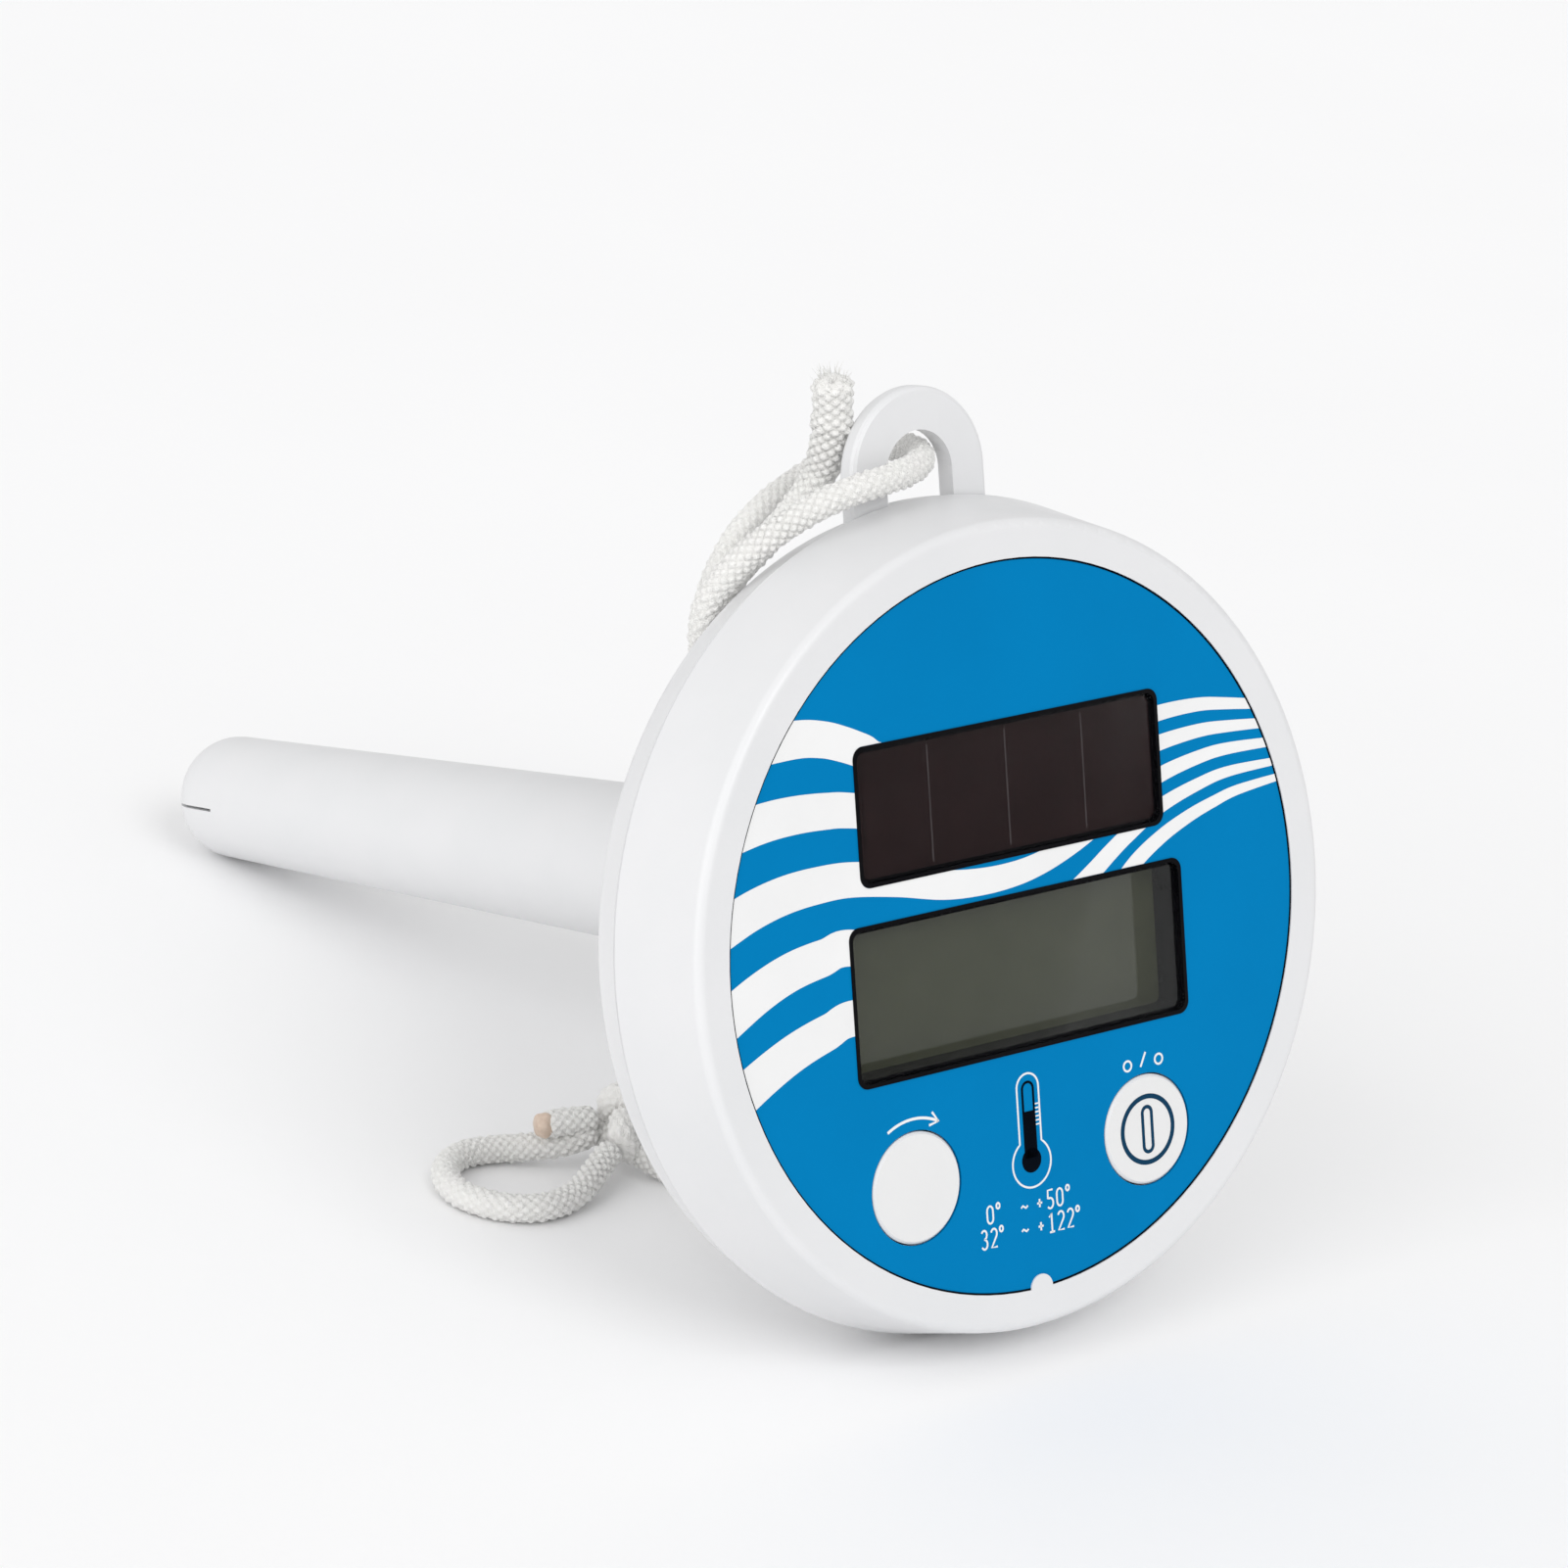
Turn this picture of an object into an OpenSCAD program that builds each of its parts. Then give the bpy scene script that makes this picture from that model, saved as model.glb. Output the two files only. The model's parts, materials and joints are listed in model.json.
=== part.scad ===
// Floating pool thermometer: a round head with a solar cell, a display and two push
// buttons, a long tapered probe stem, and a braided tether tied to a lug on the rim.
// Every rigid piece is drawn about the stem axis, with the label facing +Z and the lug
// towards +Y. The label's surface is z = 0. lay_down() then rests the whole instrument
// on the ground, on the head's rim and the stem's tip.

/* [Head] */
// Radius of the printed label
label_r = 44; // [43:0.5:48]
// Width of the flat rim around the label
rim_w = 3.5; // [2:0.1:4.5]
// Radius of the rounded front edge
front_round = 1.2; // [0.8:0.1:2]
// Draft angle of the head's flank, in degrees
flank_draft = 9; // [2:0.5:12]
// Depth from the label to the seam between the shells
front_depth = 12.8; // [12:0.2:16]
// Depth of the back shell's straight flank
back_flank = 4; // [3:0.5:8]
// Depth of the back shell's cone
cone_depth = 10; // [6:0.5:16]
// Wall thickness of both shells
wall = 2.2; // [1.8:0.1:2.6]

/* [Stem] */
// Distance from the label to the stem's tip
stem_reach = 169.5; // [140:0.5:220]
// Stem radius where it leaves the collar
stem_top_r = 10.75; // [10:0.25:12]
// Stem radius where its domed tip starts
stem_tip_r = 8.3; // [7.5:0.1:9]
// Thickness of the stem's wall
stem_wall = 1.6; // [1.2:0.1:2]
// Width of the water slit across the tip
slit_w = 0.4; // [0.3:0.1:2]
// Depth of the water slit
slit_depth = 12; // [8:0.5:14]

/* [Windows] */
// Width of the solar window
solar_w = 47.4; // [40:0.2:50]
// Height of the solar window
solar_h = 16.7; // [12:0.1:17]
// Height of the solar window's centre above the label's centre
solar_y = 16.9; // [16.5:0.1:20]
// Width of the display window
lcd_w = 52; // [44:0.5:54]
// Height of the display window
lcd_h = 19.2; // [15:0.1:20]
// Height of the display window's centre above the label's centre
lcd_y = -5.4; // [-6:0.1:-4]
// Visible width of the black frames
frame_w = 0.9; // [0.7:0.1:1.6]

/* [Buttons] */
// Radius of each button
button_r = 6.7; // [5:0.1:7]
// Sideways distance of each button from the centre line
button_x = 18.2; // [16:0.2:20]
// Height of the buttons' centres above the label's centre
button_y = -28.1; // [-29:0.1:-27]
// Gap around each button
button_gap = 0.2; // [0.15:0.05:0.5]

/* [Lug] */
// Outer radius of the tether lug
lug_r = 10.3; // [9:0.1:12]
// Radius of the arched hole in the lug
lug_hole_r = 5.1; // [4.5:0.1:5.5]
// Height of the hole's centre above the label's centre
lug_y = 53.6; // [52:0.2:56]
// Thickness of the lug
lug_t = 2.6; // [2.2:0.1:4]

/* [Tether] */
// Diameter of the braided tether
cord_d = 3.6; // [3:0.1:3.8]
// Radius of the knot at the hand loop
loop_knot_r = 5.5; // [5:0.1:5.8]
// Radius of the knot that closes the tether round the lug
hitch_knot_r = 4.4; // [4:0.1:4.6]

/* [Hidden] */
$fn = 96;

// Depths of the head's layers, counted from the label's surface.
rim_z = 0.2;
label_t = 0.4;
face_z = -2.4;
frame_z = 0.12;
window_top = 0.02;
window_t = 0.6;
window_step = 0.4;
solar_cell_t = 1.2;
lcd_glass_z = -4.2;
lcd_glass_t = 1.6;
reflector_t = 0.4;
lcd_frame_z = -6.6;
board_z = -9;
board_t = 1.6;
board_r = 42;
corner_r = 1.5;
window_r = 0.9;
overlap = 0.01;

// Outline of the front shell's flank.
edge_r = label_r + rim_w;
edge_z = rim_z - front_round;
flank_r = edge_r + front_round * cos(flank_draft);
flank_z = edge_z + front_round * sin(flank_draft);
seam_z = -front_depth;
seam_r = flank_r + (flank_z - seam_z) * tan(flank_draft);

// Outline of the back shell.
groove_w = 0.3;
groove_in = 0.9;
seam_chamfer = 0.4;
back_round = 1.8;
back_r = seam_r - 0.3;
back_edge_r = seam_r - 1.4;
back_edge_z = seam_z - groove_w - back_flank;
back_z = back_edge_z - back_round;
lug_z = seam_z - groove_w - lug_t;
lug_ease = 0.6;
collar_r = 13.5;
cone_z = back_z - cone_depth;
collar_z = cone_z - 9;
spigot_r = 10;
gasket_w = 1.2;
gasket_top = seam_z + 2;
gasket_foot = seam_z - 2;

// Inner radius of each shell at height z.
function front_in_r(z) =
    seam_r - wall - (seam_r - flank_r) * (z - seam_z) / (face_z - seam_z);
function back_in_r(z) =
    seam_r - wall - (seam_r - back_edge_r) * (z - seam_z) / (back_edge_z - seam_z);

// Centre height and radii of the stem's domed tip.
tip_round = 7;
tip_z = tip_round - stem_reach;
tip_in_r = stem_tip_r - tip_round;
tip_bore_r = tip_round - stem_wall;

// The stem's outer and inner radius at height z.
stem_slope = (stem_top_r - stem_tip_r) / (collar_z - tip_z);
function stem_r(z) = stem_tip_r + stem_slope * (z - tip_z);
function bore_r(z) = stem_r(z) - stem_wall;
spigot_top = collar_z + 16;
plug_z = -150;
plug_t = 6;
ballast_t = 34;
lead_r = 0.5;
lead_x = 0.9;

// Push buttons: the disc's height, its retaining flange and its stem.
button_top = 0.15;
flange_z = -3.4;
flange_t = 0.65;
flange_r = button_r + 1.2;
button_end = -4;
button_post_r = 1.5;
switch_top = -5;
switch_h = 3.5;
switch_w = 6;
cup_top = -4.4;

// Rest pose: both touching circles, in the head by the seam and in the stem's domed tip,
// meet the ground when the axis is tilted by this angle.
span = stem_reach - tip_round - front_depth;
drop = seam_r - tip_in_r;
tilt = acos(tip_round / norm([drop, span])) - atan2(span, drop);
lift = seam_r * cos(tilt) + front_depth * sin(tilt);
front_y = edge_r * sin(tilt) + edge_z * cos(tilt) + front_round;
back_y = tip_in_r * sin(tilt) + (stem_reach - tip_round) * cos(tilt) + tip_round;
shift_y = (front_y - back_y) / 2;

// Coin cell in its tray on the back of the board.
battery_r = 12.25;
battery_t = 5;
battery_y = -20;
tray_t = 1.2;
battery_top = board_z - board_t - tray_t;

screw_spots = [[0, 33], [-30.5, -14], [30.5, -14]];
boss_r = 3;
pilot_r = 1.1;

// Tether routes on the ground frame, in millimetres.
cord_route = [
    [-21.5, -40, 74], [-21.5, -37.5, 79], [-19.5, -35.5, 82.5], [-17, -34, 85.5],
    [-13.5, -32.5, 88.5], [-9, -31.5, 91.3], [-4.5, -31.3, 93.6], [-0.7, -32.5, 96],
    [2.5, -35.6, 98.5], [3.9, -40, 100.2], [3, -44.3, 100.9], [0.3, -47.6, 101.2],
    [-3.4, -49.8, 101.3], [-7.5, -50.8, 101.2], [-11.5, -51, 100.8], [-15.2, -50.4, 99.7],
    [-19, -49.2, 97.6], [-22.3, -47.8, 94.8], [-25, -45.9, 91.1], [-26.6, -44, 86.8],
    [-26.6, -43.3, 82], [-25.2, -43.3, 76.5], [-23.5, -43.5, 70], [-21, -44, 56],
    [-19, -44, 40], [-17, -44, 24], [-14.5, -44, 12], [-11, -42.3, 5.2], [-8.5, -38, 2.3],
    [-8.2, -33, 1.9], [-10, -28.2, 1.9], [-12, -24, 3]
];
tail_route = [
    [-22, -41.5, 74.5], [-22.8, -40.5, 81], [-20.3, -40, 86.5], [-16, -39.8, 90.3],
    [-12.1, -40, 94], [-9.4, -40.9, 98.3], [-8.9, -41.6, 102.6], [-9.1, -41.9, 107],
    [-9.9, -41.9, 111.5]
];
loop_route = [
    [-15.5, -20.5, 5], [-19, -19, 3.5], [-22.5, -16.5, 2.5], [-26.5, -14, 1.9],
    [-31, -13.5, 1.9], [-35, -15.5, 1.9], [-37.5, -19.5, 1.9], [-37.5, -24, 1.9],
    [-35, -28, 1.9], [-31, -30, 1.9], [-26.5, -29.5, 1.9], [-22.5, -28, 2.5],
    [-19, -26, 3.5], [-16, -24.5, 4.5]
];
stub_route = [[-15.4, -20, 6.4], [-19.5, -19.2, 6.5], [-23, -18.4, 6.4]];
hitch_knot_at = [-21.5, -41.5, 73];
loop_knot_at = [-12, -21, 5.5];
cord_sides = 8;

// ---- Shared shapes ----

// Rests a piece that is drawn about the stem axis on the ground.
module lay_down() {
    translate([0, shift_y, lift])
        rotate([90 - tilt, 0, 0])
            children();
}

// A plate with round corners that reaches from z0 to z1.
module rounded_plate(w, h, r, z0, z1) {
    translate([0, 0, z0])
        linear_extrude(z1 - z0) {
            square([w - 2 * r, h], center = true);
            square([w, h - 2 * r], center = true);
            for (x = [-1, 1], y = [-1, 1])
                translate([x * (w / 2 - r), y * (h / 2 - r)])
                    circle(r);
        }
}

// A rod that reaches from z0 to z1 at [x, y].
module rod(r, z0, z1, x = 0, y = 0) {
    translate([x, y, z0])
        cylinder(r = r, h = z1 - z0);
}

// A block that reaches from z0 to z1, centred at [x, y].
module block(w, h, z0, z1, x = 0, y = 0) {
    translate([x - w / 2, y - h / 2, z0])
        cube([w, h, z1 - z0]);
}

// A tapered ring or plug that fills the stem's bore from z0 to z1.
module bore_filler(z0, z1) {
    translate([0, 0, z0])
        cylinder(r1 = bore_r(z0), r2 = bore_r(z1), h = z1 - z0);
}

// Direction of a route at point i, from its neighbours.
function route_dir(p, i) =
    let (a = p[max(i - 1, 0)], b = p[min(i + 1, len(p) - 1)])
    (b - a) / norm(b - a);

// First side vector of each ring, carried along so that the tube doesn't twist.
function next_side(side, d) =
    let (s = side - (side * d) * d)
    s / norm(s);
function route_sides(p, i = 0, side = [0.3, 0.4, 1]) =
    i == len(p) ? [] :
    let (s = next_side(side, route_dir(p, i)))
    concat([s], route_sides(p, i + 1, s));

// Catmull-Rom point between p[i] and p[i + 1].
function spline_at(p, i, t) =
    let (
        a = p[max(i - 1, 0)],
        b = p[i],
        c = p[i + 1],
        d = p[min(i + 2, len(p) - 1)]
    )
    0.5 * (2 * b + (c - a) * t + (2 * a - 5 * b + 4 * c - d) * t * t
        + (3 * b - a - 3 * c + d) * t * t * t);

// A route with extra points between its own, for tight bends.
function smoothed(p, steps) =
    concat(
        [for (i = [0 : len(p) - 2], s = [0 : steps - 1]) spline_at(p, i, s / steps)],
        [p[len(p) - 1]]
    );

// A round cord swept along a route.
module cord(route, steps) {
    p = smoothed(route, steps);
    sides = route_sides(p);
    rings = len(p);
    points = [
        for (i = [0 : rings - 1], k = [0 : cord_sides - 1])
            let (
                a = 360 * k / cord_sides,
                d = route_dir(p, i),
                side = sides[i]
            )
            p[i] + cord_d / 2 * (cos(a) * side + sin(a) * cross(d, side))
    ];
    skin = [
        for (i = [0 : rings - 2], k = [0 : cord_sides - 1])
            let (
                a = i * cord_sides + k,
                b = i * cord_sides + (k + 1) % cord_sides
            )
            [a, a + cord_sides, b + cord_sides, b]
    ];
    start = [[for (k = [0 : cord_sides - 1]) k]];
    end = [[for (k = [cord_sides - 1 : -1 : 0]) (rings - 1) * cord_sides + k]];
    polyhedron(points, concat(skin, start, end), convexity = 10);
}

// ---- Shells ----

module front_shell() {
    color("white")
    lay_down() {
        difference() {
            rotate_extrude() {
                polygon([
                    [0, face_z], [0, -label_t], [label_r, -label_t], [label_r, rim_z],
                    [edge_r, rim_z], [edge_r, edge_z], [flank_r, flank_z], [seam_r, seam_z],
                    [seam_r - wall, seam_z], [flank_r - wall, face_z]
                ]);
                translate([edge_r, edge_z])
                    intersection() {
                        circle(front_round);
                        polygon([
                            [0, 0], [0, 2 * front_round], [2 * front_round, 2 * front_round],
                            2 * front_round * [cos(flank_draft), sin(flank_draft)]
                        ]);
                    }
            }
            translate([0, solar_y, 0])
                rounded_plate(solar_w, solar_h, corner_r, face_z - 1, 1);
            translate([0, lcd_y, 0])
                rounded_plate(lcd_w, lcd_h, corner_r, face_z - 1, 1);
            for (side = [-1, 1])
                rod(button_r + button_gap, face_z - 1, 1, side * button_x, button_y);
        }
        // Key that bites into the label at its lowest point.
        intersection() {
            rod(1.7, -label_t - overlap, rim_z, 0, -label_r);
            rod(label_r + overlap, -1, 1);
        }
        for (spot = screw_spots)
            difference() {
                rod(boss_r, board_z, face_z + overlap, spot.x, spot.y);
                rod(pilot_r, board_z - 1, face_z - 1, spot.x, spot.y);
            }
    }
}

// Half section of the lug's arch, or of one leg, out to radius r, with eased edges.
module lug_section(r) {
    polygon([
        [0, 0], [r - lug_ease, 0], [r - 0.3 * lug_ease, 0.3 * lug_ease], [r, lug_ease],
        [r, lug_t - lug_ease], [r - 0.3 * lug_ease, lug_t - 0.3 * lug_ease],
        [r - lug_ease, lug_t], [0, lug_t]
    ]);
}

// The lug without its hole: an arch on two legs that run down to the shell's flank.
module lug_body() {
    translate([0, lug_y, lug_z]) {
        rotate_extrude()
            lug_section(lug_r);
        rotate([90, 0, 0])
            linear_extrude(lug_y - label_r) {
                lug_section(lug_r);
                mirror([1, 0])
                    lug_section(lug_r);
            }
    }
}

// The arched hole, kept outside the shell's own wall.
module lug_hole() {
    translate([0, 0, lug_z - 1])
        linear_extrude(lug_t + 2)
            difference() {
                union() {
                    translate([0, lug_y])
                        circle(lug_hole_r);
                    translate([-lug_hole_r, label_r])
                        square([2 * lug_hole_r, lug_y - label_r]);
                }
                circle(back_r);
            }
}

module back_shell() {
    color("white")
    lay_down() {
        difference() {
            union() {
                rotate_extrude()
                    back_profile();
                lug_body();
            }
            lug_hole();
            // Inside of the shell, also through the lug's root.
            rotate_extrude()
                polygon([
                    [0, seam_z + 1], [seam_r - wall, seam_z + 1], [seam_r - wall, seam_z],
                    [back_edge_r - wall, back_edge_z], [collar_r, cone_z + wall],
                    [spigot_r, cone_z + wall], [0, cone_z + wall]
                ]);
            rod(spigot_r, collar_z - 1, cone_z + wall + 1);
        }
    }
}

// Half section of the back shell, filled to the axis.
module back_profile() {
    polygon([
        [0, seam_z], [seam_r - groove_in, seam_z], [seam_r - groove_in, seam_z - groove_w],
        [back_r - seam_chamfer, seam_z - groove_w],
        [back_r, seam_z - groove_w - seam_chamfer],
        [back_edge_r, back_edge_z],
        [back_edge_r - back_round, back_z], [collar_r + 2, cone_z], [collar_r, cone_z - 1.5],
        [collar_r, collar_z + 0.8], [collar_r - 0.8, collar_z], [0, collar_z]
    ]);
    translate([back_edge_r - back_round, back_edge_z])
        circle(back_round);
}

// Rubber band that seals the joint between the shells, pressed against both inner walls.
module shell_gasket() {
    color("dimgray")
    lay_down()
        rotate_extrude()
            polygon([
                [front_in_r(gasket_top), gasket_top], [seam_r - wall, seam_z],
                [back_in_r(gasket_foot), gasket_foot],
                [back_in_r(gasket_foot) - gasket_w, gasket_foot],
                [front_in_r(gasket_top) - gasket_w, gasket_top]
            ]);
}

module face_label() {
    color("deepskyblue")
    lay_down()
        difference() {
            rod(label_r, -label_t, 0);
            translate([0, solar_y, 0])
                rounded_plate(solar_w, solar_h, corner_r, -1, 1);
            translate([0, lcd_y, 0])
                rounded_plate(lcd_w, lcd_h, corner_r, -1, 1);
            for (side = [-1, 1])
                rod(button_r + button_gap, -1, 1, side * button_x, button_y);
            rod(1.7, -1, 1, 0, -label_r);
        }
}

// ---- Solar cell ----

// Black frame with a step that seats its clear window.
module window_frame(w, h, z0) {
    difference() {
        rounded_plate(w, h, corner_r, z0, frame_z);
        rounded_plate(w - 2 * frame_w, h - 2 * frame_w, window_r, z0 - 1, frame_z + 1);
        rounded_plate(
            w - 2 * frame_w + 2 * window_step, h - 2 * frame_w + 2 * window_step,
            window_r + window_step, window_top - window_t, frame_z + 1
        );
    }
}

// Clear plate that sits on the step of a window_frame.
module window_plate(w, h) {
    rounded_plate(
        w - 2 * frame_w + 2 * window_step, h - 2 * frame_w + 2 * window_step,
        window_r + window_step, window_top - window_t, window_top
    );
}

module at_solar() {
    lay_down()
        translate([0, solar_y, 0])
            children();
}

module solar_frame() {
    color("black")
    at_solar()
        window_frame(solar_w, solar_h, face_z);
}

module solar_window() {
    color("whitesmoke", 0.3)
    at_solar()
        window_plate(solar_w, solar_h);
}

module solar_cell() {
    color("saddlebrown")
    at_solar()
        rounded_plate(
            solar_w - 2 * frame_w, solar_h - 2 * frame_w,
            window_r, window_top - window_t - solar_cell_t, window_top - window_t
        );
}

// Two wires from the solar cell down to the circuit board.
module solar_leads() {
    color("firebrick")
    at_solar()
        for (side = [-1, 1])
            rod(lead_r, board_z, window_top - window_t - solar_cell_t, side * 18);
}

// ---- Display ----

module at_lcd() {
    lay_down()
        translate([0, lcd_y, 0])
            children();
}

module lcd_frame() {
    color("black")
    at_lcd()
        window_frame(lcd_w, lcd_h, lcd_frame_z);
}

module lcd_window() {
    color("whitesmoke", 0.3)
    at_lcd()
        window_plate(lcd_w, lcd_h);
}

module lcd_glass() {
    color("darkolivegreen")
    at_lcd()
        rounded_plate(
            lcd_w - 2 * frame_w, lcd_h - 2 * frame_w,
            window_r, lcd_glass_z - lcd_glass_t, lcd_glass_z
        );
}

module lcd_reflector() {
    color("silver")
    at_lcd()
        rounded_plate(
            lcd_w - 2 * frame_w, lcd_h - 2 * frame_w,
            window_r, lcd_glass_z - lcd_glass_t - reflector_t, lcd_glass_z - lcd_glass_t
        );
}

// Spacer that carries the display frame on the circuit board.
module lcd_holder() {
    color("gainsboro")
    at_lcd()
        difference() {
            rounded_plate(lcd_w, lcd_h, corner_r, board_z, lcd_frame_z);
            block(lcd_w - 5, lcd_h - 5, board_z - 1, lcd_frame_z + 1);
        }
}

// Two elastomer strips that connect the display to the circuit board.
module zebra_strips() {
    color("slategray")
    at_lcd()
        for (side = [-1, 1])
            block(
                lcd_w - 8, 1.8, board_z, lcd_glass_z - lcd_glass_t - reflector_t,
                0, side * (lcd_h / 2 - 4)
            );
}

// ---- Electronics ----

module circuit_board() {
    color("seagreen")
    lay_down()
        difference() {
            rod(board_r, board_z - board_t, board_z);
            for (spot = screw_spots)
                rod(pilot_r + 0.4, board_z - board_t - 1, board_z + 1, spot.x, spot.y);
        }
}

module board_screws() {
    color("lightgray")
    lay_down()
        for (spot = screw_spots) {
            rod(pilot_r, board_z - board_t - overlap, board_z + 4, spot.x, spot.y);
            rod(2.2, board_z - board_t - 1.4, board_z - board_t, spot.x, spot.y);
        }
}

module controller_chip() {
    color("black")
    lay_down()
        rod(5, board_z - board_t - 1.6, board_z - board_t, 14, 12);
}

module battery() {
    color("silver")
    lay_down()
        rod(battery_r, battery_top - battery_t, battery_top, 0, battery_y);
}

// Open tray on the back of the board that grips the cell.
module battery_holder() {
    color("darkslategray")
    lay_down()
        difference() {
            rod(battery_r + 1.4, battery_top - battery_t / 2, board_z - board_t, 0, battery_y);
            rod(battery_r, battery_top - battery_t, battery_top, 0, battery_y);
        }
}

// ---- Buttons ----

module push_button(x) {
    lay_down()
        translate([x, button_y, 0]) {
            rod(button_r, flange_z, button_top - 0.3);
            translate([0, 0, button_top - 0.3])
                cylinder(r1 = button_r, r2 = button_r - 0.3, h = 0.3);
            rod(flange_r, flange_z, flange_z + flange_t);
            rod(button_post_r, button_end, flange_z + overlap);
        }
}

module reset_button() {
    color("white")
    push_button(-button_x);
}

module unit_button() {
    color("white")
    push_button(button_x);
}

module tact_switch(x) {
    lay_down()
        translate([x, button_y, 0]) {
            block(switch_w, switch_w, board_z, board_z + switch_h);
            rod(1.7, board_z + switch_h - overlap, switch_top);
        }
}

module reset_switch() {
    color("dimgray")
    tact_switch(-button_x);
}

module unit_switch() {
    color("dimgray")
    tact_switch(button_x);
}

// Silicone cups on the board that push the buttons back out, joined by a strip.
module key_mat() {
    color("lightsteelblue")
    lay_down()
        difference() {
            union() {
                for (side = [-1, 1])
                    translate([side * button_x, button_y, board_z])
                        cylinder(r1 = 7.4, r2 = 6.6, h = cup_top - board_z);
                block(2 * button_x, 5, board_z, board_z + 0.8, 0, button_y);
            }
            for (side = [-1, 1])
                rod(5, board_z - 1, 0, side * button_x, button_y);
        }
}

// ---- Stem and probe ----

// Quarter disc that rounds the domed tip, or the end of the bore inside it.
module tip_corner(r) {
    translate([tip_in_r, tip_z])
        intersection() {
            circle(r);
            translate([0, -r])
                square(r);
        }
}

module stem_tube() {
    color("white")
    lay_down()
        difference() {
            union() {
                rotate_extrude() {
                    polygon([
                        [0, -stem_reach], [tip_in_r, -stem_reach], [tip_in_r, tip_z],
                        [stem_tip_r, tip_z], [stem_top_r, collar_z], [0, collar_z]
                    ]);
                    tip_corner(tip_round);
                }
                rod(spigot_r, collar_z - overlap, spigot_top);
            }
            // Bore, closed by the dome at the tip.
            rotate_extrude() {
                polygon([
                    [0, tip_z - tip_bore_r], [tip_in_r, tip_z - tip_bore_r], [tip_in_r, tip_z],
                    [bore_r(tip_z), tip_z], [bore_r(collar_z), collar_z],
                    [spigot_r - stem_wall, collar_z],
                    [spigot_r - stem_wall, spigot_top + 1], [0, spigot_top + 1]
                ]);
                tip_corner(tip_bore_r);
            }
            block(3 * stem_top_r, slit_w, -stem_reach - 1, slit_depth - stem_reach);
        }
}

// Flange ring that locks and seals the stem's spigot inside the head.
module stem_seal() {
    color("dimgray")
    lay_down()
        difference() {
            rod(spigot_r + 3, cone_z + wall, cone_z + wall + 2);
            rod(spigot_r, cone_z, cone_z + wall + 3);
        }
}

// Steel slug that keeps the floating stem upright, with a channel for the probe's leads.
module ballast_weight() {
    color("gray")
    lay_down()
        difference() {
            bore_filler(plug_z + plug_t, plug_z + plug_t + ballast_t);
            rod(2.5, plug_z, plug_z + plug_t + ballast_t + 1);
        }
}

// Rubber plug between the dry stem and the wet chamber at the tip.
module probe_plug() {
    color("darkslategray")
    lay_down()
        difference() {
            bore_filler(plug_z, plug_z + plug_t);
            for (side = [-1, 1])
                rod(lead_r, plug_z - 1, plug_z + plug_t + 1, side * lead_x);
        }
}

// Epoxy bead with the temperature sensor, hanging in the wet chamber.
module probe_bead() {
    color("black")
    lay_down() {
        rod(2, plug_z - 6, plug_z);
        translate([0, 0, plug_z - 6])
            sphere(2);
    }
}

module probe_leads() {
    color("firebrick")
    lay_down()
        for (side = [-1, 1])
            rod(lead_r, plug_z, board_z - board_t, side * lead_x);
}

// ---- Tether ----

module tether_cord() {
    color("ivory")
    cord(cord_route, 2);
}

module tether_tail() {
    color("ivory")
    cord(tail_route, 1);
}

module tether_loop() {
    color("ivory")
    cord(loop_route, 1);
}

module loop_stub() {
    color("tan")
    cord(stub_route, 1);
}

module hitch_knot() {
    color("ivory")
    translate(hitch_knot_at)
        sphere(hitch_knot_r);
}

module loop_knot() {
    color("ivory")
    translate(loop_knot_at)
        sphere(loop_knot_r);
}

front_shell();
back_shell();
shell_gasket();
face_label();
solar_frame();
solar_window();
solar_cell();
solar_leads();
lcd_frame();
lcd_window();
lcd_glass();
lcd_reflector();
lcd_holder();
zebra_strips();
circuit_board();
board_screws();
controller_chip();
battery();
battery_holder();
reset_button();
unit_button();
reset_switch();
unit_switch();
key_mat();
stem_tube();
stem_seal();
ballast_weight();
probe_plug();
probe_bead();
probe_leads();
tether_cord();
hitch_knot();
tether_tail();
loop_knot();
tether_loop();
loop_stub();
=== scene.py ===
"""Looks of a floating pool thermometer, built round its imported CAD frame.

A name that ends in _mm or _MM is in millimetres. On the face, x runs to the right, y towards the
lug and z out of the label's surface. Everything else is in metres in the CAD part's frame.
"""
import json
import math
import random

import bmesh
import bpy
import numpy as np
from mathutils import Matrix, Quaternion, Vector


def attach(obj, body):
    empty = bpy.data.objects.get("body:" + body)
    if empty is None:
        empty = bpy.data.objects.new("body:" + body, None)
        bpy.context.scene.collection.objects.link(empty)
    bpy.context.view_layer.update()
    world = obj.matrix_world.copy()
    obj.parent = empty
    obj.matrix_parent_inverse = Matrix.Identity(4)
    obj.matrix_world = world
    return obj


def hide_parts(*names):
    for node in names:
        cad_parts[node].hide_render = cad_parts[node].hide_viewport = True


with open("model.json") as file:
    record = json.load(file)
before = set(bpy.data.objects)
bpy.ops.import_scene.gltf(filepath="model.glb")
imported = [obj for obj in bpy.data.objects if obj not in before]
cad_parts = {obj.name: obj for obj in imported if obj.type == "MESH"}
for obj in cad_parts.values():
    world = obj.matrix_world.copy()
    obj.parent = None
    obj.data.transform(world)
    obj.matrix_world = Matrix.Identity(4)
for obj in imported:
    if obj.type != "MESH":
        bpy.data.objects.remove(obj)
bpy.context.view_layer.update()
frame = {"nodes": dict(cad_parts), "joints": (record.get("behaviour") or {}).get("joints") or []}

MM = 0.001
BODY = "thermometer"
NODES = frame["nodes"]

# ---- Camera ----

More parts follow.
